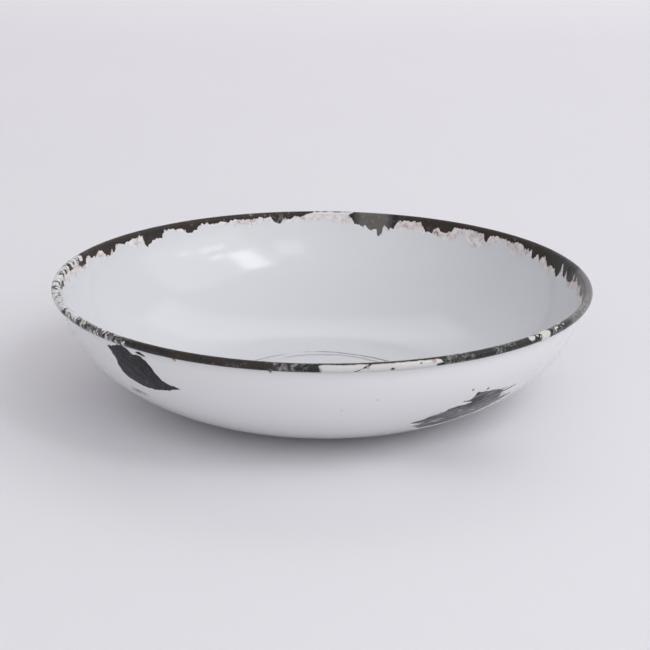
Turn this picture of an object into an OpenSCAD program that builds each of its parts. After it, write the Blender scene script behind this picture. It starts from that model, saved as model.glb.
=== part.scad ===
// Round developing dish: a pressed sheet-steel pan with a curled rim, under a dark ground enamel
// and a white cover enamel that has chipped off most of the rim and off two places outside.
// Millimetres. The origin is the centre of the flat base, +Z is up and -Y is the front.
// Azimuths are in degrees, anticlockwise from +X as seen from above.

/* [Pan] */
// Diameter over the curled rim
dish_d = 340; // [280:1:420]
// Height from the base to the top of the rim
dish_h = 76; // [62:1:96]
// Diameter of the flat base
base_d = 128; // [100:1:160]
// Slope at which the gentle curve off the base turns into the tighter curve of the wall, in degrees
shoulder_slope = 40; // [32:1:50]
// Slope of the wall where it meets the rim, in degrees
rim_slope = 82; // [76:1:88]

/* [Sheet and rim] */
// Thickness of the steel sheet
sheet_t = 0.8; // [0.5:0.05:1.1]
// Outside diameter of the steel curl, before enamelling
curl_d = 4.6; // [4:0.1:6.4]
// Free gap left between the edge of the curl and the outside of the wall
curl_gap = 0.5; // [0.3:0.05:0.8]

/* [Enamel] */
// Thickness of the dark ground coat
ground_t = 0.15; // [0.08:0.01:0.25]
// Thickness of the white cover coat
cover_t = 0.35; // [0.2:0.01:0.6]
// How far the white has gone down the inside of the wall, between the deeper chips
inside_bare = 2; // [0.5:0.1:4]
// How far the white stops short of the curl on the outside
outside_bare = 0.6; // [0.3:0.1:4]

/* [Hidden] */
$fn = 96;

STEEL = "dimgray";
GROUND = "#2b2a28";
WHITE = "whitesmoke";

// Steps along the two curves of the wall and round the curl
SHOULDER_STEPS = 16;
WALL_STEPS = 16;
CURL_STEPS = 20;

// Stretches where the white has gone from the inside of the rim: [first azimuth, last azimuth]
BARE_RUNS = [[-69, 84], [97, 269]];
// Deeper chips in the white inside the rim: [middle azimuth, width in degrees, depth down the wall]
INSIDE_CHIPS = [[166, 6, 6], [152, 9, 5], [146, 4, 7], [138, 4, 8], [133, 6, 5], [125, 8, 4],
                [110, 5, 3], [77, 9, 9], [64, 11, 5], [48, 12, 4], [30, 15, 6], [18, 6, 11],
                [8, 10, 7], [-6, 9, 6], [-20, 10, 5], [-34, 6, 4], [-114, 12, 3], [-140, 9, 4]];
// Stretches of white left on the curl: [first azimuth, last azimuth]
RIM_REMAINS = [[-91, -83.5], [-82, -69], [-46, -42], [84, 97], [171, 179], [184, 191], [213, 217]];

// Bare patches on the outside: [azimuth, height of the middle, outline], the outline's points
// being [round the dish, up the wall] from that middle
LEFT_PATCH = [-129, 58, [[-27, 10], [-19, 12], [-8, 9], [2, 7], [9, 0], [17, -6], [29, -12],
                         [18, -14], [6, -14], [-6, -11], [-14, -4], [-20, 3]]];
RIGHT_PATCH = [-55, 33, [[-29, -17], [-26, -4], [-14, 4], [-4, 6], [6, 12], [24, 12], [38, 10],
                         [24, 2], [14, -6], [0, -12], [-14, -17]]];
PATCHES = [LEFT_PATCH, RIGHT_PATCH];

// Depths of the faces between the layers, measured inwards from the outer face of the dish
ground_face = cover_t;
steel_face = ground_face + ground_t;
steel_inner = steel_face + sheet_t;
ground_inner = steel_inner + ground_t;
cover_inner = ground_inner + cover_t;

// The curl: the inner face of the sheet rolls outwards over a circle of radius curl_r
curl_r = curl_d / 2;
curl_centre = [dish_d / 2 - curl_r - ground_t, dish_h - curl_r - ground_t];
wall_end = curl_centre + (steel_inner - curl_r) * outward(rim_slope);
curl_open = acos((curl_r - sheet_t - ground_t - curl_gap) / (curl_r + ground_t + cover_t));

// Two tangent arcs run from the edge of the base to the end of the wall, which sets their radii
base_r = base_d / 2;
run = wall_end[0] - base_r;
rise = wall_end[1];
shoulder_step = outward(shoulder_slope) - outward(0);
wall_step = outward(rim_slope) - outward(shoulder_slope);
steps = shoulder_step[0] * wall_step[1] - shoulder_step[1] * wall_step[0];
shoulder_r = (run * wall_step[1] - rise * wall_step[0]) / steps;
wall_r = (rise * shoulder_step[0] - run * shoulder_step[1]) / steps;
shoulder_centre = [base_r, shoulder_r];
wall_centre = shoulder_centre + (shoulder_r - wall_r) * outward(shoulder_slope);

// Height at which the white stops on the outside
outside_top = curl_centre[1] - curl_r - ground_t - outside_bare;

// Direction square to the wall, away from the dish, where the wall has this slope
function outward(slope) = [sin(slope), -cos(slope)];

function arc(centre, r, slope0, slope1, count) =
    [for (i = [0 : count]) centre + r * outward(slope0 + (slope1 - slope0) * i / count)];

// The wall's face at one depth, from the axis to the rim
function wall_face(depth) =
    concat([[0, depth]],
           arc(shoulder_centre, shoulder_r - depth, 0, shoulder_slope, SHOULDER_STEPS),
           [for (i = [1 : WALL_STEPS])
               wall_centre + (wall_r - depth) * outward(shoulder_slope
                                                        + (rim_slope - shoulder_slope) * i / WALL_STEPS)]);

// The same face carried on round the curl, up the inside, over the top and back under the outside
function curl_face(depth) =
    arc(curl_centre, curl_r + depth - steel_inner, rim_slope + 180, rim_slope - 180 + curl_open, CURL_STEPS);

function without_first(list) = [for (i = [1 : len(list) - 1]) list[i]];
function reversed(list) = [for (i = [len(list) - 1 : -1 : 0]) list[i]];

// Half section of a layer between two depths, without and with its share of the curl
module wall_layer(from, to) {
    polygon(concat(wall_face(from), reversed(wall_face(to))));
}

module curl_layer(from, to) {
    polygon(concat(curl_face(from), reversed(curl_face(to))));
}

module full_layer(from, to) {
    polygon(concat(wall_face(from), without_first(curl_face(from)),
                   reversed(without_first(curl_face(to))), reversed(wall_face(to))));
}

// A block that takes the white off the inside of the wall, from the rim down to a depth
module inside_chip(first, last, depth) {
    rotate([0, 0, first])
        rotate_extrude(angle = last - first)
            translate([wall_centre[0], wall_end[1] - depth]) square([wall_r, dish_h]);
}

// A block whose outline is a bare patch, set square to the wall at the middle of the patch
module patch_cut(azimuth, height, outline) {
    slope = acos((wall_centre[1] - height) / wall_r);
    reach = max([for (p = outline) norm(p)]);
    bow = reach * reach / wall_r;
    rotate([0, 0, azimuth])
        translate([wall_centre[0] + wall_r * sin(slope), 0, height])
            rotate([90, 0, 90])
                rotate([90 - slope, 0, 0])
                    translate([0, 0, -bow - cover_inner])
                        linear_extrude(height = bow + 2 * cover_inner) polygon(outline);
}

module steel_pan() {
    color(STEEL) rotate_extrude() full_layer(steel_face, steel_inner);
}

module inside_ground_coat() {
    color(GROUND) rotate_extrude() full_layer(steel_inner, ground_inner);
}

module outside_ground_coat() {
    color(GROUND) rotate_extrude() wall_layer(ground_face, steel_face);
}

module inside_white_coat() {
    color(WHITE) difference() {
        rotate_extrude() wall_layer(ground_inner, cover_inner);
        for (stretch = BARE_RUNS) inside_chip(stretch[0], stretch[1], inside_bare);
        for (chip = INSIDE_CHIPS) inside_chip(chip[0] - chip[1] / 2, chip[0] + chip[1] / 2, chip[2]);
    }
}

module outside_white_coat() {
    color(WHITE) difference() {
        rotate_extrude() intersection() {
            wall_layer(0, ground_face);
            square([dish_d, outside_top]);
        }
        for (patch = PATCHES) patch_cut(patch[0], patch[1], patch[2]);
    }
}

module rim_white_remains() {
    color(WHITE) for (stretch = RIM_REMAINS)
        rotate([0, 0, stretch[0]])
            rotate_extrude(angle = stretch[1] - stretch[0]) curl_layer(ground_inner, cover_inner);
}

steel_pan();
inside_ground_coat();
outside_ground_coat();
inside_white_coat();
outside_white_coat();
rim_white_remains();
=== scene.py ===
import math
import bmesh
import bpy
import numpy as np
from mathutils import Matrix, Vector


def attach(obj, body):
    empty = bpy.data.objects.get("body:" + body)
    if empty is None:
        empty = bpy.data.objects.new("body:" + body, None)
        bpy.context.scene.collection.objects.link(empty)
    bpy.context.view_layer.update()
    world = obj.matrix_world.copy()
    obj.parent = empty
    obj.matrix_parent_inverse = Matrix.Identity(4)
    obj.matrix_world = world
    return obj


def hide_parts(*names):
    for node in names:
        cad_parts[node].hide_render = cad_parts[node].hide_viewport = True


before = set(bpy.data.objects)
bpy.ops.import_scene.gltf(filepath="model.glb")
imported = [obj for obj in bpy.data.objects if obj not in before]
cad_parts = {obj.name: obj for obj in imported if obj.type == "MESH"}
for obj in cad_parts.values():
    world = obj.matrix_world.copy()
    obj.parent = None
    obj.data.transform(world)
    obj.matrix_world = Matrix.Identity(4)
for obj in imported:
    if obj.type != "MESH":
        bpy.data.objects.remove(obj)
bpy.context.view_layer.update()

# The stage: a sheet of white paper that lies under the dish and curves up behind it.
# The dish stands on it by its flat base, at z = 0.

# Half the paper's width, how far behind the dish its bend starts, the bend's radius, its top edge
PAPER_HALF, PAPER_BACK, PAPER_BEND, PAPER_TOP = 7.0, 1.6, 0.9, 3.2
BEND_STEPS = 24


def new_material(name):
    material = bpy.data.materials.new(name)
    material.use_nodes = True
    tree = material.node_tree
    tree.nodes.clear()
    return material, tree


def add(tree, kind, settings=None, **sockets):
    """Adds a node. Sockets are given by name, spaces written as _, or by number as i0, i1 and so on.
    What goes in is a value or another node's output."""
    node = tree.nodes.new(kind)
    for key, value in (settings or {}).items():
        setattr(node, key, value)
    for key, value in sockets.items():
        if key[0] == "i" and key[1:].isdigit():
            socket = node.inputs[int(key[1:])]
        else:
            socket = node.inputs[key.replace("_", " ")]
        if isinstance(value, bpy.types.NodeSocket):
            tree.links.new(value, socket)
        else:
            socket.default_value = value
    return node


def mixed(tree, share, first, second):
    """first where share is 0, second where it is 1."""
    return add(tree, "ShaderNodeMix", {"data_type": "RGBA"}, Factor=share, i6=first, i7=second).outputs[2]


def noise(tree, place, scale, detail, roughness=0.5, **more):
    return add(tree, "ShaderNodeTexNoise", Vector=place, Scale=scale, Detail=detail, Roughness=roughness,
               **more).outputs["Fac"]


def paper_sheet():
    profile = [(-PAPER_HALF, 0.0), (PAPER_BACK, 0.0)]
    for step in range(1, BEND_STEPS + 1):
        turn = math.radians(90 * step / BEND_STEPS)
        profile.append((PAPER_BACK + PAPER_BEND * math.sin(turn), PAPER_BEND * (1 - math.cos(turn))))
    profile.append((PAPER_BACK + PAPER_BEND, PAPER_TOP))
    verts = [(side * PAPER_HALF, y, z) for y, z in profile for side in (-1, 1)]
    faces = [(2 * i, 2 * i + 1, 2 * i + 3, 2 * i + 2) for i in range(len(profile) - 1)]
    mesh = bpy.data.meshes.new("paper")
    mesh.from_pydata(verts, [], faces)
    mesh.shade_smooth()
    sheet = bpy.data.objects.new("paper", mesh)
    bpy.context.collection.objects.link(sheet)
    material, tree = new_material("white paper")
    spot = add(tree, "ShaderNodeTexCoord").outputs["Object"]
    tone = mixed(tree, noise(tree, spot, 2.3, 2.0), (0.745, 0.735, 0.760, 1), (0.765, 0.757, 0.778, 1))
    body = add(tree, "ShaderNodeBsdfPrincipled", Base_Color=tone, Roughness=0.85, Specular_IOR_Level=0.2)
    add(tree, "ShaderNodeOutputMaterial", Surface=body.outputs[0])
    mesh.materials.append(material)


paper_sheet()


# Light: a tall window to the right and in front, with smaller panes beside it, whose dim reflections
# show inside the far wall; a large soft panel on the right, one over the paper behind, and a sky
# that is brighter on the right and behind the camera.
def window(name, size, place, power, colour=(0.95, 0.97, 1.0), aim=(0, 0, 0)):
    lamp = bpy.data.lights.new(name, "AREA")
    lamp.shape = "RECTANGLE"
    lamp.size, lamp.size_y = size
    lamp.energy = power
    lamp.color = colour
    obj = bpy.data.objects.new(name, lamp)
    obj.location = place
    obj.rotation_euler = (Vector(aim) - Vector(place)).to_track_quat("-Z", "Y").to_euler()
    bpy.context.collection.objects.link(obj)


window("tall_window", (0.40, 0.78), (1.0, -0.89, 1.60), 4.6)
window("window_over_door", (0.46, 0.12), (1.58, -0.85, 1.08), 0.65)
window("window_beside_it", (0.24, 0.12), (1.44, -0.74, 1.38), 0.40)
window("far_window", (0.22, 0.12), (1.81, -0.43, 1.0), 0.25)
window("window_with_sky", (0.45, 0.62), (0.50, -1.45, 1.42), 1.5, (0.82, 0.93, 1.0))
window("soft_panel", (3.6, 3.0), (2.6, -0.95, 2.2), 26.6, (0.97, 0.98, 1.0))
window("panel_over_paper", (3.0, 1.2), (0.4, 1.9, 2.4), 9.0, (1.0, 0.99, 0.985), (0.4, 1.7, 0))


def calc(tree, operation, first, second=0.0, third=0.0):
    return add(tree, "ShaderNodeMath", {"operation": operation}, i0=first, i1=second, i2=third).outputs[0]


def span(tree, value, low, high, to_low=0.0, to_high=1.0):
    """Takes low to to_low and high to to_high, and stays between them."""
    return add(tree, "ShaderNodeMapRange", Value=value, From_Min=low, From_Max=high, To_Min=to_low,
               To_Max=to_high).outputs[0]


SKY_LEVEL, MORE_ON_RIGHT, MORE_IN_FRONT = 0.485, 0.33, 0.64
sky = bpy.data.worlds.new("sky")
sky.use_nodes = True
sky_tree = sky.node_tree
sky_tree.nodes.clear()
facing = add(sky_tree, "ShaderNodeTexCoord").outputs["Generated"]
sides = add(sky_tree, "ShaderNodeSeparateXYZ", Vector=facing).outputs
level = calc(sky_tree, "ADD", span(sky_tree, sides["X"], 0.0, 1.0, 0.0, MORE_ON_RIGHT),
             span(sky_tree, sides["Y"], 0.0, -1.0, 0.0, MORE_IN_FRONT))
glow = add(sky_tree, "ShaderNodeBackground", Color=(0.972, 0.965, 0.99, 1),
           Strength=calc(sky_tree, "ADD", level, SKY_LEVEL))
add(sky_tree, "ShaderNodeOutputWorld", Surface=glow.outputs[0])
bpy.context.scene.world = sky
bpy.context.scene.view_settings.view_transform = "Standard"

# Camera: three dish diameters from the middle of the dish and 18.4 degrees above it, turned
# a little so that the dish sits just left of and below the middle of the picture.
CAMERA_AWAY, CAMERA_ABOVE, LOOKS_AT_HEIGHT = 1.02, math.radians(18.43), 0.038
CAMERA_TURN, CAMERA_TILT, CAMERA_ROLL = math.radians(0.108), math.radians(0.26), math.radians(0.37)
camera = bpy.data.objects.new("camera", bpy.data.cameras.new("camera"))
camera.data.lens = 87.8
camera.data.sensor_width = 36.0
place = Vector((0, -CAMERA_AWAY * math.cos(CAMERA_ABOVE),
                LOOKS_AT_HEIGHT + CAMERA_AWAY * math.sin(CAMERA_ABOVE)))
aim = Matrix.Rotation(math.radians(90) - CAMERA_ABOVE, 4, "X")
turned = aim @ Matrix.Rotation(-CAMERA_TURN, 4, "Y") @ Matrix.Rotation(CAMERA_TILT, 4, "X")
camera.matrix_world = Matrix.Translation(place) @ turned @ Matrix.Rotation(CAMERA_ROLL, 4, "Z")
bpy.context.collection.objects.link(camera)
bpy.context.scene.camera = camera

# The steel pan: one pressing from 0.8 mm sheet, its edge rolled outwards and under into a hollow
# curl. It shows only inside the curl, from below. Its half section is turned round the axis.

# Sizes here and below are in mm. A depth is how far a face lies in from the enamel's outer face.
MM = 0.001
DISH_D, DISH_H, BASE_D = 340.0, 76.0, 128.0
SHOULDER_SLOPE, RIM_SLOPE = math.radians(40), math.radians(82)
SHEET_T, CURL_D, CURL_GAP, GROUND_T, COVER_T = 0.8, 4.6, 0.5, 0.15, 0.35
STEEL_FACE = COVER_T + GROUND_T
STEEL_INNER = STEEL_FACE + SHEET_T
GROUND_INNER = STEEL_INNER + GROUND_T
COVER_INNER = GROUND_INNER + COVER_T


def outward(slope):
    """Which way the outer face looks, as radius and height, where the wall rises at this slope."""
    return np.stack([np.sin(slope), -np.cos(slope)], axis=-1)


CURL_R = CURL_D / 2
CURL_CENTRE = np.array([DISH_D / 2 - CURL_R - GROUND_T, DISH_H - CURL_R - GROUND_T])
WALL_END = CURL_CENTRE + (STEEL_INNER - CURL_R) * outward(RIM_SLOPE)
BASE_R = BASE_D / 2
shoulder_step = outward(SHOULDER_SLOPE) - outward(0.0)
wall_step = outward(RIM_SLOPE) - outward(SHOULDER_SLOPE)
SHOULDER_R, WALL_R = np.linalg.solve(np.stack([shoulder_step, wall_step], axis=1),
                                     WALL_END - np.array([BASE_R, 0.0]))
SHOULDER_CENTRE = np.array([BASE_R, SHOULDER_R])
WALL_CENTRE = SHOULDER_CENTRE + (SHOULDER_R - WALL_R) * outward(SHOULDER_SLOPE)
CURL_REF = CURL_R + GROUND_T
CURL_OPEN = math.acos((CURL_R - SHEET_T - GROUND_T - CURL_GAP) / (CURL_REF + COVER_T))
CURL_LENGTH = CURL_REF * (2 * math.pi - CURL_OPEN)
WALL_LENGTH = (WALL_R - GROUND_INNER) * (RIM_SLOPE - SHOULDER_SLOPE)
SHOULDER_LENGTH = (SHOULDER_R - GROUND_INNER) * SHOULDER_SLOPE
FULL_LENGTH = WALL_LENGTH + SHOULDER_LENGTH + BASE_R


def section_point(along, depth):
    """Radius and height of a point. along is the way from the top of the wall, in mm: up and round
    the curl where it is positive, down the wall and in to the axis where it is negative."""
    along, depth = np.broadcast_arrays(np.asarray(along, float), np.asarray(depth, float))
    down = -along
    past = down - WALL_LENGTH

    def arc(centre, radius, slope):
        return centre + radius[..., None] * outward(slope)

    curl = arc(CURL_CENTRE, CURL_R + depth - STEEL_INNER, RIM_SLOPE + math.pi - along / CURL_REF)
    wall = arc(WALL_CENTRE, WALL_R - depth, RIM_SLOPE - down / (WALL_R - GROUND_INNER))
    shoulder = arc(SHOULDER_CENTRE, SHOULDER_R - depth,
                   SHOULDER_SLOPE - past / (SHOULDER_R - GROUND_INNER))
    floor = np.stack([np.maximum(FULL_LENGTH - down, 0), depth], axis=-1)
    out = np.where((along >= 0)[..., None], curl, wall)
    out = np.where((past > 0)[..., None], shoulder, out)
    return np.where((down > WALL_LENGTH + SHOULDER_LENGTH)[..., None], floor, out)


def turning_tree():
    """Geometry nodes that turn a closed half section (points in order) round the axis."""
    tree = bpy.data.node_groups.new("turned sheet", "GeometryNodeTree")
    face = tree.interface
    face.new_socket("Section", in_out="INPUT", socket_type="NodeSocketGeometry")
    for name, kind, value in (("Steps Around", "Int", 360), ("Unevenness", "Float", 0.0),
                              ("Lump Size", "Float", 0.01), ("Seed", "Float", 1.0),
                              ("Material", "Material", None)):
        socket = face.new_socket(name, in_out="INPUT", socket_type="NodeSocket" + kind)
        if value is not None:
            socket.default_value = value
    face.new_socket("Sheet", in_out="OUTPUT", socket_type="NodeSocketGeometry")
    given = tree.nodes.new("NodeGroupInput").outputs

    def position():
        return tree.nodes.new("GeometryNodeInputPosition").outputs[0]

    count = add(tree, "GeometryNodeAttributeDomainSize", Geometry=given["Section"]).outputs["Point Count"]
    grid = add(tree, "GeometryNodeMeshGrid", Size_X=1.0, Size_Y=1.0,
               Vertices_X=calc(tree, "ADD", given["Steps Around"], 1.0),
               Vertices_Y=calc(tree, "ADD", count, 1.0))
    where = add(tree, "ShaderNodeSeparateXYZ", Vector=position())
    turn = calc(tree, "MULTIPLY", calc(tree, "ADD", where.outputs["X"], 0.5), 2 * math.pi)
    index = calc(tree, "MULTIPLY", calc(tree, "ADD", where.outputs["Y"], 0.5), count)
    index = calc(tree, "MODULO", calc(tree, "ROUND", index), count)
    point = add(tree, "GeometryNodeSampleIndex", {"data_type": "FLOAT_VECTOR", "domain": "POINT"},
                Geometry=given["Section"], Index=index)
    tree.links.new(position(), point.inputs["Value"])
    placed = add(tree, "ShaderNodeVectorRotate", {"rotation_type": "Z_AXIS"},
                 Vector=point.outputs["Value"], Angle=turn)
    turned_grid = add(tree, "GeometryNodeSetPosition", Geometry=grid.outputs["Mesh"],
                      Position=placed.outputs[0])
    closed = add(tree, "GeometryNodeMergeByDistance", Geometry=turned_grid.outputs[0], Distance=2e-6)
    lumps = add(tree, "ShaderNodeTexNoise", {"noise_dimensions": "4D"}, W=given["Seed"], Detail=3.0,
                Vector=position(), Scale=calc(tree, "DIVIDE", 1.0, given["Lump Size"]))
    rise = calc(tree, "MULTIPLY", calc(tree, "SUBTRACT", lumps.outputs["Fac"], 0.5), given["Unevenness"])
    lift = add(tree, "ShaderNodeVectorMath", {"operation": "SCALE"}, Scale=rise,
               i0=tree.nodes.new("GeometryNodeInputNormal").outputs[0])
    uneven = add(tree, "GeometryNodeSetPosition", Geometry=closed.outputs[0], Offset=lift.outputs[0])
    smooth = add(tree, "GeometryNodeSetShadeSmooth", Geometry=uneven.outputs[0])
    whole = add(tree, "GeometryNodeRealizeInstances", Geometry=smooth.outputs[0])
    dressed = add(tree, "GeometryNodeSetMaterial", Geometry=whole.outputs[0], Material=given["Material"])
    add(tree, "NodeGroupOutput", Sheet=dressed.outputs[0])
    return tree


turned_sheet = turning_tree()


def turned_piece(name, alongs_out, depth_out, alongs_in, depth_in, material, steps, uneven=0.0,
                 lump=0.01, seed=1.0):
    """A layer between two depths: its section goes up the outer face and back down the inner one.
    Its faces are uneven by so many mm, in lumps so many mm across."""
    loop = np.concatenate([section_point(alongs_out, depth_out), section_point(alongs_in, depth_in)[::-1]])
    mesh = bpy.data.meshes.new(name)
    edges = [(i, (i + 1) % len(loop)) for i in range(len(loop))]
    mesh.from_pydata([(x * MM, 0.0, z * MM) for x, z in loop], edges, [])
    source = bpy.data.objects.new(name, mesh)
    bpy.context.collection.objects.link(source)
    modifier = source.modifiers.new("turn", "NODES")
    modifier.node_group = turned_sheet
    values = {"Steps Around": steps, "Unevenness": uneven * MM, "Lump Size": lump * MM, "Seed": seed,
              "Material": material}
    for item in turned_sheet.interface.items_tree:
        if item.name in values:
            modifier[item.identifier] = values[item.name]
    source.update_tag()
    shaped = bpy.data.meshes.new_from_object(source.evaluated_get(bpy.context.evaluated_depsgraph_get()))
    source.modifiers.clear()
    source.data = shaped
    shaped.name = name
    tool = bmesh.new()
    tool.from_mesh(shaped)
    bmesh.ops.delete(tool, geom=[e for e in tool.edges if not e.link_faces], context="EDGES")
    tool.to_mesh(shaped)
    tool.free()
    shaped.set_sharp_from_angle(angle=math.radians(50))
    return source


def stops(*spans):
    """Places along the section from spans of (first, last, count)."""
    return np.unique(np.round(np.concatenate([np.linspace(a, b, n) for a, b, n in spans]), 5))


steel_look, steel_tree = new_material("rusted sheet steel")
bloom = noise(steel_tree, add(steel_tree, "ShaderNodeTexCoord").outputs["Object"], 260.0, 6.0, 0.7)
rust = mixed(steel_tree, bloom, (0.05, 0.042, 0.038, 1), (0.20, 0.085, 0.035, 1))
pits = add(steel_tree, "ShaderNodeBump", Height=bloom, Strength=0.5, Distance=0.0002)
steel = add(steel_tree, "ShaderNodeBsdfPrincipled", Base_Color=rust, Roughness=0.75, Metallic=0.3,
            Normal=pits.outputs[0])
add(steel_tree, "ShaderNodeOutputMaterial", Surface=steel.outputs[0])

AXIS, BASE_EDGE = -FULL_LENGTH, -FULL_LENGTH + BASE_R
wall_stops = stops((AXIS, BASE_EDGE, 6), (BASE_EDGE, -WALL_LENGTH, 18), (-WALL_LENGTH, 0, 16))
steel_stops = np.r_[wall_stops, np.linspace(0, CURL_LENGTH, 28)[1:]]
pan = turned_piece("pressed_steel_pan", steel_stops, STEEL_FACE, steel_stops, STEEL_INNER, steel_look, 360)
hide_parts("steel_pan")
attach(pan, "root")

# The ground coats: a thin dark enamel fused to both faces of the steel. It is bare on the curl and
# wherever the white has chipped, brown and rough with rust at the rim, blue-black on the outside.

# Stretches of the rim: first and last bearing, and how rusty. Below zero it is clean and rubbed grey.
# A bearing is in degrees from +X, anticlockwise from above, so the front of the dish is at -90.
RUST_RUNS = ((98, 178, 0.62), (20, 71, 0.72), (71, 83, -0.9), (-33, 8, -0.8), (-69, -47, 0.1),
             (-128, -92, 0.5), (178, 232, 0.3))
# The same for how scuffed it is
SCUFF_RUNS = ((-69, -59, 0.9), (-57, -47, 0.8), (-41, -33, 0.9), (205, 232, 1.0), (167, 205, 0.5),
              (97, 112, 0.5), (-101, -91, 1.0), (-112, -101, 0.3), (-33, -10, 0.8))
BARE_RUST = 0.25  # how rusty the rest of the rim is
RUN_FADE = 3  # degrees over which a stretch begins and ends


def shader_group(name, inputs):
    """A shader group with these sockets going in, each a name and a kind, and a surface's looks
    coming out. Gives the tree and the values that go in."""
    tree = bpy.data.node_groups.new(name, "ShaderNodeTree")
    for label, kind in inputs:
        tree.interface.new_socket(label, in_out="INPUT", socket_type="NodeSocket" + kind)
    for label, kind in (("Colour", "Color"), ("Roughness", "Float"), ("Height", "Float")):
        tree.interface.new_socket(label, in_out="OUTPUT", socket_type="NodeSocket" + kind)
    return tree, tree.nodes.new("NodeGroupInput").outputs


def rust_group():
    """Old ground enamel: Rust 0 is clean and glassy, 1 is brown and pitted, -1 is rubbed grey."""
    tree, given = shader_group("old ground enamel", (("Position", "Vector"), ("Rust", "Float"),
                                                     ("Scuff", "Float"), ("Glass", "Color")))
    place = given["Position"]
    fine = noise(tree, place, 700.0, 4.0, 0.7)
    amount = calc(tree, "MULTIPLY_ADD", given["Rust"], 0.42, noise(tree, place, 120.0, 5.0, 0.65))
    brown = span(tree, amount, 0.56, 0.92)
    orange = span(tree, calc(tree, "MULTIPLY_ADD", fine, 0.6, amount), 1.22, 1.42)
    colour = mixed(tree, brown, given["Glass"], (0.040, 0.025, 0.019, 1))
    colour = mixed(tree, orange, colour, (0.125, 0.058, 0.030, 1))
    colour = mixed(tree, span(tree, given["Rust"], 0.0, -1.0), colour, (0.128, 0.116, 0.106, 1))
    rubbed = calc(tree, "MULTIPLY_ADD", given["Scuff"], 0.13,
                  noise(tree, place, 240.0, 6.0, 0.8, Distortion=0.6))
    colour = mixed(tree, span(tree, rubbed, 0.59, 0.72, 0.0, 0.72), colour, (0.33, 0.325, 0.32, 1))
    rough = span(tree, brown, 0.0, 1.0, 0.24, 0.72)
    add(tree, "NodeGroupOutput", Colour=colour, Roughness=rough, Height=calc(tree, "MULTIPLY", fine, rough))
    return tree


old_ground = rust_group()


def attribute(tree, name):
    return add(tree, "ShaderNodeAttribute", {"attribute_name": name}).outputs["Fac"]


def ground_look(name, glass, rust, scuff, shine, streaks=()):
    """rust and scuff are numbers, or the names of the piece's attributes. streaks are the ways things
    scraped along it: the side it is on, its bearing and its slope in degrees."""
    material, tree = new_material(name)
    spot = add(tree, "ShaderNodeTexCoord").outputs["Object"]
    if isinstance(rust, str):
        rust, scuff = attribute(tree, rust), attribute(tree, scuff)
    parts = add(tree, "ShaderNodeGroup", {"node_tree": old_ground}, Position=spot, Glass=glass, Rust=rust,
                Scuff=scuff)
    shown = parts.outputs["Colour"]
    for side, at, slope in streaks:
        turn, rise = math.radians(at), math.radians(slope)
        along = Vector((-math.sin(turn) * math.cos(rise), math.cos(turn) * math.cos(rise), math.sin(rise)))
        across = Vector((math.sin(turn) * math.sin(rise), -math.cos(turn) * math.sin(rise), math.cos(rise)))
        way = [add(tree, "ShaderNodeVectorMath", {"operation": "DOT_PRODUCT"}, i0=spot, i1=line * scale)
               for line, scale in ((along, 42.0), (across, 820.0))]
        flat = add(tree, "ShaderNodeCombineXYZ", X=way[0].outputs["Value"], Y=way[1].outputs["Value"])
        lines = span(tree, noise(tree, flat.outputs[0], 1.0, 4.0, 0.6), 0.45, 0.63, 0.0, 0.85)
        on_side = span(tree, add(tree, "ShaderNodeSeparateXYZ", Vector=spot).outputs["X"], 0.0, side * MM)
        shown = mixed(tree, calc(tree, "MULTIPLY", lines, on_side), shown,
                      (0.26, 0.26, 0.267, 1) if side > 0 else (0.040, 0.042, 0.047, 1))
    relief = add(tree, "ShaderNodeBump", Height=parts.outputs["Height"], Strength=0.7, Distance=0.00035)
    body = add(tree, "ShaderNodeBsdfPrincipled", Base_Color=shown, Roughness=parts.outputs["Roughness"],
               Normal=relief.outputs[0], Specular_IOR_Level=shine)
    add(tree, "ShaderNodeOutputMaterial", Surface=body.outputs[0])
    return material


inner_stops = stops((AXIS, BASE_EDGE, 5), (BASE_EDGE, -22, 26), (-22, 0, 40))
inner_look = ground_look("dark ground enamel inside", (0.014, 0.016, 0.015, 1), "rust", "scuff", 0.27)
inner_ground = turned_piece("ground_coat_inside", steel_stops, STEEL_INNER,
                            np.r_[inner_stops, np.linspace(0, CURL_LENGTH, 30)[1:]], GROUND_INNER,
                            inner_look, 600, 0.10, 3.2, 4.0)
places = np.empty(len(inner_ground.data.vertices) * 3)
inner_ground.data.vertices.foreach_get("co", places)
places = places.reshape(-1, 3)
bearing = np.degrees(np.arctan2(places[:, 1], places[:, 0]))
for label, rest, runs in (("rust", BARE_RUST, RUST_RUNS), ("scuff", 0.0, SCUFF_RUNS)):
    values = np.full(len(bearing), rest)
    for first, last, amount in runs:
        past_first = (bearing - first) % 360
        reached = np.minimum(past_first, (last - bearing) % 360) / RUN_FADE
        share = np.clip(np.where(past_first <= last - first, reached, 0), 0, 1)
        values = values * (1 - share) + amount * share
    inner_ground.data.attributes.new(label, "FLOAT", "POINT").data.foreach_set("value", values)
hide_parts("inside_ground_coat")
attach(inner_ground, "root")

outer_look = ground_look("dark ground enamel outside", (0.011, 0.012, 0.016, 1), 0.05, 0.0, 0.16,
                         ((1, -55, 10), (-1, -129, -32)))
outer_ground = turned_piece("ground_coat_outside", wall_stops, COVER_T, wall_stops, STEEL_FACE,
                            outer_look, 480, 0.05, 9.0, 7.0)
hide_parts("outside_ground_coat")
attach(outer_ground, "root")

# The white cover coat inside, and what is left of it on the curl: glossy white vitreous enamel,
# fired over the ground coat. It has chipped back from the rim in ragged points, below which its
# top skin has flaked off in a rough pinkish band. Islands of it still hold on to the curl.

TOP_RADIUS = 168  # of the inside at the top of the wall
MM_PER_DEGREE = math.radians(TOP_RADIUS)
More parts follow.
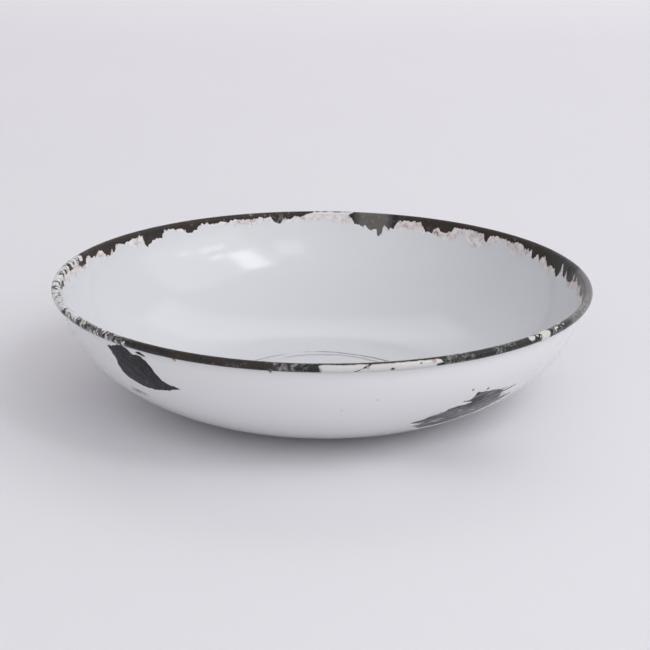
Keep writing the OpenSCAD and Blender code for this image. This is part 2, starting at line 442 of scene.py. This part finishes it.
# Chips that reach down from the rim: bearing of the middle, half width in degrees, reach
CHIPS = ((171, 3.5, 2.6), (165, 2.6, 5.2), (159, 2.5, 3.4), (153, 2.4, 7.0), (150.5, 1.2, 5.0),
         (146, 4, 2.6), (138.9, 1.1, 8.8), (138, 1.6, 8.0), (136.6, 2.0, 6.8), (135, 2.2, 5.6),
         (129, 2.5, 1.8), (125, 3.2, 5.4), (119, 2, 1.6), (114.7, 0.9, 2.6), (108, 3, 1.6),
         (101.4, 2.1, 5.4), (98.6, 1.2, 3.2), (80, 3.2, 7.2), (77, 3.4, 9.5), (75.2, 1.4, 13.0),
         (72.5, 2.4, 8.0), (61.8, 2.9, 7.0), (57.6, 2.9, 5.8), (45.2, 1.1, 6.0), (38, 5, 1.6),
         (31, 3, 3.4), (28.2, 1.4, 7.6), (25.5, 2.2, 6.0), (20.5, 3.8, 8.6), (16.8, 2.0, 11.6),
         (13.2, 1.5, 9.0), (9.5, 3.0, 10.4), (5.6, 1.2, 6.6), (2, 3, 5.0), (-3, 3.4, 8.0),
         (-9, 4, 7.2), (-17, 5, 4.6), (-27, 6, 3.4), (-36, 4, 4.6), (-58, 6, 2.6), (-100, 4, 2.2),
         (-112, 5, 3.4), (-124, 4, 2.6), (-134, 5, 3.8), (-146, 4, 3.2), (-156, 5, 4.6),
         (-167, 4, 3.4), (-177, 5, 4.4))
LEAST_CHIP, LEAST_FLAKED = 1.1, 3.0  # reach where nothing more is given
# Stretches where the top skin has flaked below the chips: first and last bearing, how far down
FLAKED = ((160, 178, 6.0), (138, 160, 6.5), (112, 138, 5.0), (98, 112, 3.8), (78, 98, 4.6),
          (66, 78, 9.0), (52, 66, 8.0), (43, 52, 9.5), (30, 43, 6.5), (12, 30, 11.0), (-14, 12, 9.0),
          (-70, -14, 5.0), (-180, -92, 4.6))
# Stretches where the curl has kept its white, and how far up it the far one reaches, at bearings
FAR_WHITE, NEAR_WHITE = (82.8, 95.0), (-90.4, -68.4)
FAR_TOP = ((82.8, 90, 93, 95), (2.8, 2.6, 1.6, -0.8))
# The crack across the near white: ways round the curl, and its bearings there
CRACK_LINE = ((3.6, 5.2, 7.2, 9.2), (-80.6, -81.0, -82.6, -84.0))
# Mottled stretches of the curl: first and last bearing, share of white, furthest round the curl
MOTTLED = ((210, 230, 0.30, 9.0), (-68.4, -60, 0.24, 3.8), (-56, -49, 0.30, 3.8), (-47, -33, 0.26, 7.0))
# A stretch where the curl is still mostly white, crossed by thin dark cracks
CRACKED = (165, 211, 12.2)
NOWHERE, BELOW_CURL = -9, -1.5  # far from any white; where mottles and cracks begin


def grain(x, y, seed, wrap=0):
    """Smooth noise from 0 to 1 over cells one unit across. wrap joins x up after that many cells."""
    cell_x, cell_y = np.floor(x).astype(np.int64), np.floor(y).astype(np.int64)
    part_x, part_y = x - cell_x, y - cell_y
    part_x, part_y = part_x * part_x * (3 - 2 * part_x), part_y * part_y * (3 - 2 * part_y)

    def corner(dx, dy):
        cx = (cell_x + dx) % wrap if wrap else cell_x + dx
        h = (cx * 374761393 + (cell_y + dy) * 668265263 + seed * 2246822519) & 0xFFFFFFFF
        h = ((h ^ (h >> 13)) * 1274126177) & 0xFFFFFFFF
        return ((h ^ (h >> 16)) & 0xFFFFFF) / float(0xFFFFFF)

    low = corner(0, 0) * (1 - part_x) + corner(1, 0) * part_x
    high = corner(0, 1) * (1 - part_x) + corner(1, 1) * part_x
    return low * (1 - part_y) + high * part_y


def round_grain(bearing, along, across_mm, along_mm, seed):
    """Noise in lumps of this size round the dish and along its section."""
    cells = max(int(round(2 * math.pi * TOP_RADIUS / across_mm)), 1)
    return grain((bearing % 360) / 360 * cells, along / along_mm, seed, cells)


def bearing_from(bearing, middle):
    return (bearing - middle + 180) % 360 - 180


def between(bearing, first, last):
    """Distance in mm inside a stretch of the circle, negative outside it."""
    middle, half = (first + last) / 2, (last - first) / 2
    return (half - np.abs(bearing_from(bearing, middle))) * MM_PER_DEGREE


def chip_reach(bearing):
    reach = np.full(bearing.shape, LEAST_CHIP)
    for middle, half, depth in CHIPS:
        off = np.abs(bearing_from(bearing, middle)) / half
        reach = np.maximum(reach, np.where(off < 1, depth * (1 - off ** 2.4), 0))
    return reach


def flaked_reach(bearing):
    reach = np.full(bearing.shape, LEAST_FLAKED)
    for first, last, depth in FLAKED:
        share = np.clip(between(bearing, first, last) / 5 + 0.5, 0, 1)
        reach = np.maximum(reach, LEAST_FLAKED + (depth - LEAST_FLAKED) * share)
    return reach * (0.45 + 0.95 * round_grain(bearing, np.zeros_like(bearing), 13.0, 9.0, 25))


def ease(x, low, high):
    x = np.clip((x - low) / (high - low), 0, 1)
    return x * x * (3 - 2 * x)


def inside_field(bearing, along):
    """How far inside the white a point is, in mm, and how far below the flaked band it is."""
    down = -along

    def lumps(across_mm, along_mm, seed):
        return round_grain(bearing, along, across_mm, along_mm, seed)

    def off_point(middle, centre, squash):
        return np.hypot(bearing_from(bearing, middle) * MM_PER_DEGREE * squash, along - centre)

    teeth = (lumps(1.1, 4.5, 3) - 0.45) * 2.6
    ragged = (lumps(2.6, 2.6, 5) - 0.5) * 2.0
    crumbs = (lumps(0.9, 0.9, 6) - 0.5) * 0.9
    rough = (teeth + ragged) * np.clip(0.45 + down / 9, 0.35, 1) + crumbs
    wall = down - chip_reach(bearing) + rough
    far = np.minimum(between(bearing, *FAR_WHITE) + ragged * 3,
                     np.interp(bearing, *FAR_TOP) - along + crumbs + ragged * 0.9)
    near = np.minimum(between(bearing, *NEAR_WHITE) + ragged * 2, 3.1 - along + crumbs * 0.5)
    lobe = 2.3 - np.hypot(bearing_from(bearing, 20.2) * MM_PER_DEGREE * 0.8, (down - 9.6) * 0.8)
    field = np.maximum.reduce([wall, far, near, lobe + crumbs + ragged * 0.4])
    # the near white on the curl, parted from the coat inside by a crack and crossed by another
    wide = np.where(np.abs(bearing_from(bearing, -82.2)) < 1.6, 4.8,
                    4.0 + (0.7 + 0.5 * lumps(11.0, 9.0, 29)) * ease(bearing, -81, -79))
    ends = between(bearing, *NEAR_WHITE) + (lumps(7.0, 1.2, 27) - 0.5) * 9.0 + ragged + crumbs * 2
    off_crack = np.abs(bearing_from(bearing, np.interp(along, *CRACK_LINE))) * MM_PER_DEGREE
    curl = np.minimum.reduce([ends, along - wide + crumbs * 0.5, CURL_LENGTH - 0.4 - along,
                              np.where(along < 9.4, off_crack - 0.75 + crumbs * 1.2, 3.0),
                              off_point(-77.0, 8.4, 0.7) - 0.75, off_point(-71.6, 6.4, 1) - 0.42])
    # a spot and a speck of white further right
    spot = np.minimum(4.2 - np.abs(bearing_from(bearing, -41.4)) * MM_PER_DEGREE,
                      6.2 - np.abs(along - 6.0)) + ragged * 2.0 + crumbs * 1.5
    speck = 1.7 - off_point(-45.6, 5.0, 0.7) + crumbs * 1.4
    field = np.maximum.reduce([field, curl, np.where(along > 0, np.maximum(spot, speck), NOWHERE)])
    blots = 0.42 * lumps(2.0, 2.6, 11) + 0.33 * lumps(1.1, 1.5, 12) + 0.25 * lumps(0.7, 0.8, 13)
    for first, last, share, top in MOTTLED:
        patchy = np.minimum.reduce([(blots - 0.5 - (0.5 - share) * 0.42) * 9,
                                    between(bearing, first, last) * 0.3 + ragged, (top - along) * 0.8])
        field = np.maximum(field, np.where(along > BELOW_CURL, patchy, NOWHERE))
    # the cracked white: two nets of dark lines that lean against each other
    first, last, top = CRACKED
    worse = lumps(14.0, 9.0, 16) * 1.8 - 0.35
    one_way = np.abs(round_grain(bearing, along * 0.6 + bearing * 0.8, 3.4, 4.6, 14) - 0.5) * 9 - worse
    other = np.abs(round_grain(bearing, along - bearing * 0.6, 5.6, 3.4, 15) - 0.5) * 9 - worse * 0.7
    veins = np.minimum.reduce([np.minimum(one_way, other) + crumbs * 0.8,
                               between(bearing, first, last) * 0.4 + ragged, top - along])
    field = np.maximum(field, np.where(along > BELOW_CURL, veins, NOWHERE))
    skin = (down - flaked_reach(bearing) + (lumps(5.0, 3.2, 21) - 0.5) * 5.0
            + (lumps(1.6, 1.4, 22) - 0.5) * 2.2)
    return field, np.where(along > 0, 4.0, skin)


AROUND, FINER = 240, 7  # cells round the dish, and parts of a split cell
CIRCLE = AROUND * FINER
SPLIT_AT_EDGE, SPLIT_AT_SKIN = 0.8, 0.3  # cells this near a broken edge or flaked line are split
LEAST_FIELD = 0.03  # and no point lies nearer to an edge than this


def coat_mesh(name, rows, field_of, thickness_of, near_depth, inward):
    """A coat as a closed shell. rows are places along the section, from the top down to the axis.
    Cells near a broken edge are split FINER times each way, and the edge is cut through them."""
    rows = np.asarray(rows, float)
    fine_rows = np.concatenate([np.linspace(rows[k], rows[k + 1], FINER + 1)[:-1]
                                for k in range(len(rows) - 1)] + [rows[-1:]])
    bearings = np.arange(CIRCLE) * 360.0 / CIRCLE
    grid_b, grid_a = np.meshgrid(bearings, fine_rows)
    field, skin = field_of(grid_b, grid_a)
    field = np.where(np.abs(field) < LEAST_FIELD, LEAST_FIELD, field)
    count_j = len(rows) - 1

    def over_cells(values, pick):
        """The least or the greatest value over each cell's points."""
        wrapped = np.concatenate([values, values[:, :1]], axis=1)
        return pick.reduce([wrapped[dj:dj + count_j * FINER:FINER, di:di + CIRCLE:FINER]
                            for dj in range(FINER + 1) for di in range(FINER + 1)])

    highest = over_cells(field, np.maximum)
    near_break = ((over_cells(field, np.minimum) < SPLIT_AT_EDGE)
                  | (over_cells(skin, np.minimum) < SPLIT_AT_SKIN) | (rows[:-1, None] > 0))
    split = (highest > 0) & near_break
    whole = (highest > 0) & ~split
    node_id = -np.ones((count_j * FINER + 1, CIRCLE), dtype=np.int64)
    verts = []  # (bearing, along, field, skin)

    def node(j, i):
        i %= CIRCLE
        if node_id[j, i] < 0:
            node_id[j, i] = len(verts)
            verts.append((bearings[i], fine_rows[j], field[j, i], skin[j, i]))
        return int(node_id[j, i])

    cut_id = {}

    def cut(j0, i0, j1, i1):
        key = (j0, i0 % CIRCLE, j1, i1 % CIRCLE)
        back = key[2:] + key[:2]
        if back in cut_id:
            return cut_id[back]
        if key not in cut_id:
            f0, f1 = field[key[:2]], field[key[2:]]
            t = min(max(f0 / (f0 - f1), 0.12), 0.88)
            b = bearings[key[1]] + (i1 - i0) * t * 360.0 / CIRCLE
            a = fine_rows[j0] + (fine_rows[j1] - fine_rows[j0]) * t
            s = skin[key[:2]] * (1 - t) + skin[key[2:]] * t
            cut_id[key] = len(verts)
            verts.append((b, a, 0.0, s))
        return cut_id[key]

    faces = []
    for row, column in zip(*np.nonzero(whole)):
        j, i = row * FINER, column * FINER
        up = row > 0 and split[row - 1, column]
        low = row < count_j - 1 and split[row + 1, column]
        left, right = split[row, (column - 1) % AROUND], split[row, (column + 1) % AROUND]
        ring = [node(j + k, i) for k in (range(FINER) if left else (0,))]
        ring += [node(j + FINER, i + k) for k in (range(FINER) if low else (0,))]
        ring += [node(j + FINER - k, i + FINER) for k in (range(FINER) if right else (0,))]
        ring += [node(j, i + FINER - k) for k in (range(FINER) if up else (0,))]
        faces.append(ring)
    for row, column in zip(*np.nonzero(split)):
        for j in range(row * FINER, row * FINER + FINER):
            for i in range(column * FINER, column * FINER + FINER):
                corners = ((j, i), (j + 1, i), (j + 1, i + 1), (j, i + 1))
                values = [field[a, b % CIRCLE] for a, b in corners]
                inside = [v > 0 for v in values]
                if not any(inside):
                    continue
                if inside[0] == inside[2] != inside[1] == inside[3] and sum(values) < 0:
                    for k in ((0, 2) if inside[0] else (1, 3)):
                        here, before, after = corners[k], corners[k - 1], corners[(k + 1) % 4]
                        faces.append([node(*here), cut(*here, *after), cut(*here, *before)])
                    continue
                ring = []
                for k in range(4):
                    after = corners[(k + 1) % 4]
                    if inside[k]:
                        ring.append(node(*corners[k]))
                    if inside[k] != inside[(k + 1) % 4]:
                        ring.append(cut(*corners[k], *after))
                faces.append(ring)
    if rows[-1] < -FULL_LENGTH + 6:
        hub = len(verts)
        verts.append((0.0, -FULL_LENGTH, 30.0, 30.0))
        last = count_j * FINER
        faces += [[node(last, (k + 1) * FINER), node(last, k * FINER), hub] for k in range(AROUND)]
    values = np.array(verts)
    thickness = thickness_of(*values.T)
    shells = []
    turn = np.radians(values[:, 0])
    for depth in (near_depth + (thickness if inward else -thickness), near_depth):
        flat = section_point(values[:, 1], depth)
        shells.append(np.stack([flat[:, 0] * np.cos(turn), flat[:, 0] * np.sin(turn), flat[:, 1]],
                               axis=1) * MM)
    front = [ring[::-1] for ring in faces] if inward else faces
    links = {(ring[k - 1], ring[k]) for ring in front for k in range(len(ring))}
    total = len(values)
    walls = [(b, a, a + total, b + total) for a, b in links if (b, a) not in links]
    back = [[v + total for v in reversed(ring)] for ring in front]
    mesh = bpy.data.meshes.new(name)
    mesh.from_pydata(np.concatenate(shells).tolist(), [], front + walls + back)
    # the mm from a broken edge and from the flaked line, for the enamel's look; none behind
    for label, face, back in (("edge", np.clip(values[:, 2], 0, 20), 0.0),
                              ("skin", np.clip(values[:, 3], -9, 20), 1.0)):
        data = mesh.attributes.new(label, "FLOAT", "POINT").data
        data.foreach_set("value", np.concatenate([face, face * back]))
    mesh.shade_smooth()
    mesh.set_sharp_from_angle(angle=math.radians(40))
    mesh.validate()
    return mesh


EDGE_T, FLAKED_T, CURL_T = 0.40, 0.42, 0.9  # shares of the coat at a break, flaked, on the curl
THINNEST = 0.08


def inside_thickness(bearing, along, field, skin):
    lumps = round_grain(bearing, along, 2.2, 2.2, 31) - 0.5
    whole = COVER_T * (EDGE_T + (1 - EDGE_T) * ease(field, 0.0, 1.0)) + lumps * 0.06 * ease(12 + along, 0, 12)
    flaked = np.minimum(COVER_T * FLAKED_T + lumps * 0.10, whole)
    kept = ease(skin, -0.4, 0.4)
    whole = np.where(along > 0, whole * CURL_T, whole * kept + flaked * (1 - kept))
    return np.maximum(whole, THINNEST)


WALL_FOOT, NEAR_AXIS = -WALL_LENGTH - SHOULDER_LENGTH, -FULL_LENGTH + 4
inside_rows = np.concatenate([np.linspace(CURL_LENGTH, 0, 5), -3.3 * np.arange(1, 6),
                              np.linspace(-16.5, -WALL_LENGTH, 8)[1:],
                              np.linspace(-WALL_LENGTH, WALL_FOOT, 14)[1:],
                              np.linspace(WALL_FOOT, NEAR_AXIS, 8)[1:]])
all_white = coat_mesh("all_white_inside", inside_rows, inside_field, inside_thickness, GROUND_INNER, True)

FEWEST_POINTS = 24  # specks with fewer have fallen off
white_pieces = {}


def split_off_islands(mesh):
    """Parts the coat that runs down the wall from the islands that are left on the curl."""
    pairs = np.empty(len(mesh.edges) * 2, dtype=np.int64)
    mesh.edges.foreach_get("vertices", pairs)
    pairs = pairs.reshape(-1, 2)
    group = np.arange(len(mesh.vertices))
    while True:
        lowest = group.copy()
        np.minimum.at(lowest, pairs[:, 0], group[pairs[:, 1]])
        np.minimum.at(lowest, pairs[:, 1], group[pairs[:, 0]])
        lowest = np.minimum(lowest, lowest[lowest])
        if np.array_equal(lowest, group):
            break
        group = lowest
    names, sizes = np.unique(group, return_counts=True)
    main = group == names[np.argmax(sizes)]
    specks = np.isin(group, names[sizes < FEWEST_POINTS])
    for name, keep in (("white_coat_inside", main), ("white_left_on_rim", ~main & ~specks)):
        part = mesh.copy()
        part.name = name
        piece = bpy.data.objects.new(name, part)
        bpy.context.collection.objects.link(piece)
        tool = bmesh.new()
        tool.from_mesh(part)
        tool.verts.ensure_lookup_table()
        bmesh.ops.delete(tool, geom=[v for v in tool.verts if not keep[v.index]], context="VERTS")
        tool.to_mesh(part)
        tool.free()
        white_pieces[name] = piece


split_off_islands(all_white)


def nudged(tree, place, scale, detail, middle):
    """The place, moved about by a noise; evenly to all sides where middle is 0.5."""
    wander = add(tree, "ShaderNodeTexNoise", Vector=place, Scale=scale, Detail=detail).outputs["Color"]
    centred = add(tree, "ShaderNodeVectorMath", {"operation": "SUBTRACT"}, i0=wander, i1=(middle,) * 3)
    nudge = add(tree, "ShaderNodeVectorMath", {"operation": "SCALE"}, i0=centred.outputs[0], Scale=0.0026)
    return add(tree, "ShaderNodeVectorMath", {"operation": "ADD"}, i0=place, i1=nudge.outputs[0]).outputs[0]


def enamel_group():
    """White enamel, worn: stained and crumbling at its broken edges (Edge, mm from one), crazed and
    pinkish where its skin has flaked off (Skin, mm above or below the flaked line)."""
    tree, given = shader_group("worn white enamel", (
        ("Position", "Vector"), ("Edge", "Float"), ("Skin", "Float"), ("Enamel", "Color"),
        ("Stain Reach", "Float"), ("Stain", "Color"), ("Dirt", "Float")))
    place = given["Position"]
    broad, mid = noise(tree, place, 14.0, 3.0), noise(tree, place, 190.0, 5.0, 0.65)
    fine, peel = noise(tree, place, 900.0, 3.0, 0.7), noise(tree, place, 42.0, 1.0)

    def times(first, second):
        return calc(tree, "MULTIPLY", first, second)

    crack = add(tree, "ShaderNodeTexVoronoi", {"feature": "DISTANCE_TO_EDGE"}, Scale=330.0,
                Vector=nudged(tree, place, 260.0, 2.0, 0.0)).outputs["Distance"]
    crazed = times(span(tree, crack, 0.02, 0.075, 1.0, 0.0), span(tree, mid, 0.46, 0.58))
    uneven = times(calc(tree, "SUBTRACT", mid, 0.5), 1.5)
    flaked = span(tree, calc(tree, "ADD", given["Skin"], uneven), -0.4, 0.5, 1.0, 0.0)
    lip = times(span(tree, calc(tree, "ABSOLUTE", given["Skin"]), 0.0, 0.55, 1.0, 0.0),
                span(tree, mid, 0.42, 0.62))
    top = mixed(tree, times(broad, 0.14), given["Enamel"], (0.66, 0.67, 0.66, 1))
    top = mixed(tree, times(span(tree, mid, 0.60, 0.80), given["Dirt"]), top, (0.45, 0.41, 0.36, 1))
    pink = mixed(tree, span(tree, mid, 0.38, 0.64), (0.735, 0.705, 0.705, 1), (0.62, 0.53, 0.515, 1))
    bare = mixed(tree, times(crazed, 0.75), pink, (0.20, 0.12, 0.09, 1))
    shown = mixed(tree, times(lip, 0.40), mixed(tree, flaked, top, bare), (0.33, 0.24, 0.20, 1))
    worn = times(calc(tree, "SUBTRACT", calc(tree, "MULTIPLY_ADD", fine, 0.5, mid), 0.74), 2.2)
    near = calc(tree, "SUBTRACT", given["Edge"], times(worn, given["Stain Reach"]))
    stain = span(tree, near, 0.0, 0.45, 1.0, 0.0)
    tint = mixed(tree, span(tree, fine, 0.42, 0.62), given["Stain"], (0.50, 0.45, 0.37, 1))
    shown = mixed(tree, times(stain, 0.72), shown, tint)
    dull = times(calc(tree, "MAXIMUM", times(flaked, 0.62), times(stain, 0.6)),
                 calc(tree, "MULTIPLY_ADD", mid, 0.5, 0.45))
    rugged = times(calc(tree, "ADD", times(mid, 0.7), times(crack, 1.2)), flaked)
    add(tree, "NodeGroupOutput", Colour=shown, Roughness=calc(tree, "ADD", dull, 0.13),
        Height=calc(tree, "ADD", times(peel, 0.35), times(rugged, 1.4)))
    return tree


worn_enamel = enamel_group()


def white_enamel(name, colour, reach, stain, dirt, extra):
    """extra adds stains of its own: it gets the tree, the place and the colour, and gives the colour back."""
    material, tree = new_material(name)
    spot = add(tree, "ShaderNodeTexCoord").outputs["Object"]
    parts = add(tree, "ShaderNodeGroup", {"node_tree": worn_enamel}, Position=spot,
                Edge=attribute(tree, "edge"), Skin=attribute(tree, "skin"), Enamel=colour,
                Stain_Reach=reach, Stain=stain, Dirt=dirt)
    relief = add(tree, "ShaderNodeBump", Height=parts.outputs["Height"], Strength=0.55, Distance=0.0003)
    body = add(tree, "ShaderNodeBsdfPrincipled", Base_Color=extra(tree, spot, parts.outputs["Colour"]),
               Roughness=parts.outputs["Roughness"], Normal=relief.outputs[0])
    add(tree, "ShaderNodeOutputMaterial", Surface=body.outputs[0])
    return material


# Cream and rusty stains beside the chips: bearing, way from the top of the wall, radius
CREAM = ((139.4, -4.5, 2.4), (20.2, -10.0, 2.8), (-41.6, 5.0, 2.6), (214.0, 5.0, 2.6), (223.0, 6.5, 2.0),
         (206.0, 3.0, 2.0))
RUSTY = ((-90.6, 8.0, 2.0), (-69.0, 5.5, 1.8), (-81.6, 6.0, 1.5), (-71.6, 6.4, 0.8), (-75.4, 4.6, 1.0),
         (-43.6, 8.0, 1.4), (212.0, 8.0, 1.6))


def tinted_spots(tree, spot, colour, places, depth, tint, weight):
    """Soft ragged spots round places on the section."""
    moved = nudged(tree, spot, 420.0, 3.0, 0.5)
    for middle, along, size in places:
        r, z = section_point(np.array(along), depth) * MM
        turn = math.radians(middle)
        off = add(tree, "ShaderNodeVectorMath", {"operation": "DISTANCE"}, i0=moved,
                  i1=(r * math.cos(turn), r * math.sin(turn), z)).outputs["Value"]
        colour = mixed(tree, span(tree, off, size * MM * 0.5, size * MM * 1.3, weight, 0.0), colour, tint)
    return colour


def rim_stains(tree, spot, colour):
    colour = tinted_spots(tree, spot, colour, CREAM, COVER_INNER, (0.60, 0.565, 0.40, 1), 0.75)
    return tinted_spots(tree, spot, colour, RUSTY, COVER_INNER, (0.26, 0.125, 0.07, 1), 0.7)


# Wear rings on the edge of the flat floor: radius, half width, how dark, and seed
RINGS = ((65.0, 0.90, 0.85, 5.0), (60.5, 0.70, 0.70, 9.0), (57.5, 0.4, 0.35, 13.0))
RING_WANDER = 9.0  # how far a ring strays


def floor_wear(tree, spot, colour):
    colour = rim_stains(tree, spot, colour)
    apart = add(tree, "ShaderNodeSeparateXYZ", Vector=spot)
    flat = add(tree, "ShaderNodeCombineXYZ", X=apart.outputs["X"], Y=apart.outputs["Y"])
    radius = add(tree, "ShaderNodeVectorMath", {"operation": "LENGTH"}, i0=flat.outputs[0]).outputs["Value"]

    def seeded(seed, scale, detail, roughness):
        return add(tree, "ShaderNodeTexNoise", {"noise_dimensions": "4D"}, Vector=spot, W=seed,
                   Scale=scale, Detail=detail, Roughness=roughness).outputs["Fac"]

    for middle, width, weight, seed in RINGS:
        strayed = calc(tree, "MULTIPLY_ADD", seeded(seed, 22.0, 4.0, 0.6), RING_WANDER * MM, radius)
        off = calc(tree, "ABSOLUTE", calc(tree, "SUBTRACT", strayed, (middle + RING_WANDER / 2) * MM))
        line = span(tree, off, width * MM * 0.4, width * MM * 1.6, 1.0, 0.0)
        kept = span(tree, seeded(seed + 3.0, 26.0, 5.0, 0.5), 0.42, 0.54, 0.0, weight)
        colour = mixed(tree, calc(tree, "MULTIPLY", line, kept), colour, (0.19, 0.15, 0.135, 1))
    return colour


inside_piece, island_piece = white_pieces["white_coat_inside"], white_pieces["white_left_on_rim"]
BROWN_STAIN = (0.27, 0.18, 0.125, 1)
inside_piece.data.materials.append(white_enamel("white enamel inside", (0.640, 0.650, 0.674, 1), 1.0,
                                                BROWN_STAIN, 0.05, floor_wear))
island_piece.data.materials.append(white_enamel("white enamel on the rim", (0.54, 0.532, 0.530, 1), 1.5,
                                                BROWN_STAIN, 0.35, rim_stains))
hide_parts("inside_white_coat")
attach(inside_piece, "root")
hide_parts("rim_white_remains")
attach(island_piece, "root")
bpy.data.meshes.remove(all_white)

# The white cover coat outside: the same enamel, ending just under the curl. Two large flakes have
# come off it, leaving the ground coat bare with long streaks, and a few specks and a thin scratch.

OUTSIDE_RADIUS = 165  # at the height of the flakes
OUTSIDE_TOP = 2.9  # how far below the curl the white stops
# What is bare: a bearing, an outline round the dish from it and up from the table, which way the
# streaks lean in degrees, how far they fray the outline, a seed, and where slivers are left
FLAKES = (
    (-129, ((-26, 66.0), (-19, 67.8), (-12.4, 70), (-7.5, 68.6), (-3.5, 66.0), (0, 66.4), (3, 66.0),
            (6.3, 63.9), (9.8, 60.1), (11.5, 56.6), (14, 53.6), (17.6, 51.4), (25.4, 49.3), (18.4, 46.9),
            (7.5, 44.2), (-1.7, 43.2), (-11, 45), (-17.3, 46.8), (-20.5, 50), (-21, 54), (-20.5, 59),
            (-23, 63)), -32, 1.1, 51, 0.95),
    (-129, ((-1, 67.8), (2.5, 69.0), (6, 67.8), (6.8, 66.4), (3, 67.2)), -10, 0.8, 57, 2.0),
    (-55, ((-38, 29), (-26, 32.4), (-19.3, 33.6), (-16, 36.2), (-13, 36.8), (-4, 37.2), (0, 38.3),
           (-9, 39.6), (-10, 41), (-5, 40.6), (-2.6, 43), (-1.6, 45.8), (3, 45.3), (6, 44.8), (12.7, 43.6),
           (21.3, 42.4), (33, 40.0), (25, 38.4), (25.5, 36.6), (31, 35.6), (40, 31.6), (30, 27.5), (24, 23),
           (13.2, 18.4), (-3.2, 17.0), (-16, 17.2), (-26, 19.2), (-35, 24)), 10, 2.8, 61, 0.90),
    (-129, ((-30, 35.0), (-20, 35.6), (-9, 33.0), (-20, 34.4)), -8, 0.1, 67, 2.0),
    (-129, ((-27, 37.8), (-16, 37.4), (-7, 35.4), (-16, 36.2)), -8, 0.1, 69, 2.0))
# Specks: bearing, height above the table and radius
SPECKS = ((-57.4, 48.6, 0.7), (-53.0, 46.6, 0.8), (-79.0, 51.0, 0.3), (-86.0, 44.5, 0.3),
          (24.0, 40.0, 0.9), (62.0, 52.0, 0.6), (128.0, 33.0, 0.8), (171.0, 47.0, 0.6))
# Drips of rust from under the curl: bearing, way from the top of the wall and radius
DRIPS = ((-119.4, -3.6, 1.2), (-99.6, -3.6, 1.0), (-139.0, -3.4, 0.9), (150.0, -3.6, 1.0))
WAYS_DOWN = np.linspace(0, FULL_LENGTH, 500)
HEIGHTS = section_point(-WAYS_DOWN, 0.0)[:, 1]


def outline_distance(x, y, outline):
    """Signed distance to a closed outline, positive inside."""
    nearest = np.full(x.shape, 1e9)
    inside = np.zeros(x.shape, bool)
    for k in range(len(outline)):
        (x0, y0), (x1, y1) = outline[k - 1], outline[k]
        dx, dy = x1 - x0, y1 - y0
        t = np.clip(((x - x0) * dx + (y - y0) * dy) / (dx * dx + dy * dy), 0, 1)
        nearest = np.minimum(nearest, np.hypot(x - x0 - t * dx, y - y0 - t * dy))
        crosses = (y0 > y) != (y1 > y)
        inside ^= crosses & (x < (x1 - x0) * (y - y0) / ((y1 - y0) or 1e-9) + x0)
    return np.where(inside, nearest, -nearest)


def flake(bearing, height, middle, outline, lean, fray, seed, sliver):
    """How far inside the bare part of a flaked patch a point is."""
    lean = math.radians(lean)
    x = bearing_from(bearing, middle) * math.radians(OUTSIDE_RADIUS)
    along = x * math.cos(lean) + height * math.sin(lean)
    across = -x * math.sin(lean) + height * math.cos(lean)
    feathered = fray * (0.35 + 2.4 * ease(np.abs(x), 14, 34))
    hole = (outline_distance(x, height, outline) + (grain(along / 10, across / 0.8, seed) - 0.5) * feathered
            + (grain(along / 2.2, across / 1.6, seed + 1) - 0.5) * min(fray, 0.7))
    left = (grain(along / 14, across / 0.9, seed + 2) - sliver) * 9
    return np.minimum(hole, -left)


def outside_field(bearing, along):
    height = np.interp(-along, WAYS_DOWN, HEIGHTS)
    field = -along - OUTSIDE_TOP + (round_grain(bearing, along, 3.0, 3.0, 41) - 0.5) * 0.9
    for patch in FLAKES:
        field = np.minimum(field, -flake(bearing, height, *patch))
    for middle, up, size in SPECKS:
        off = np.hypot(bearing_from(bearing, middle) * math.radians(OUTSIDE_RADIUS), height - up)
        field = np.minimum(field, off - size)
    return field, np.full(field.shape, 9.0)


def outside_thickness(bearing, along, field, skin):
    return COVER_T * (0.35 + 0.65 * ease(field, 0.0, 0.9))


outside_rows = np.concatenate([[-1.4], -4.6 - 3.6 * np.arange(0, 27),
                               np.linspace(-98.2, WALL_FOOT, 8)[1:],
                               np.linspace(WALL_FOOT, NEAR_AXIS, 8)[1:]])
outside_mesh = coat_mesh("white_coat_outside", outside_rows, outside_field, outside_thickness, COVER_T,
                         False)
outside_piece = bpy.data.objects.new("white_coat_outside", outside_mesh)
bpy.context.collection.objects.link(outside_piece)


def rim_drips(tree, spot, colour):
    """Rust that has run out from under the curl."""
    return tinted_spots(tree, spot, colour, DRIPS, 0.0, (0.24, 0.10, 0.045, 1), 0.85)


outside_mesh.materials.append(white_enamel("white enamel outside", (0.72, 0.725, 0.74, 1), 0.7,
                                           (0.30, 0.30, 0.31, 1), 0.05, rim_drips))
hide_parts("outside_white_coat")
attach(outside_piece, "root")
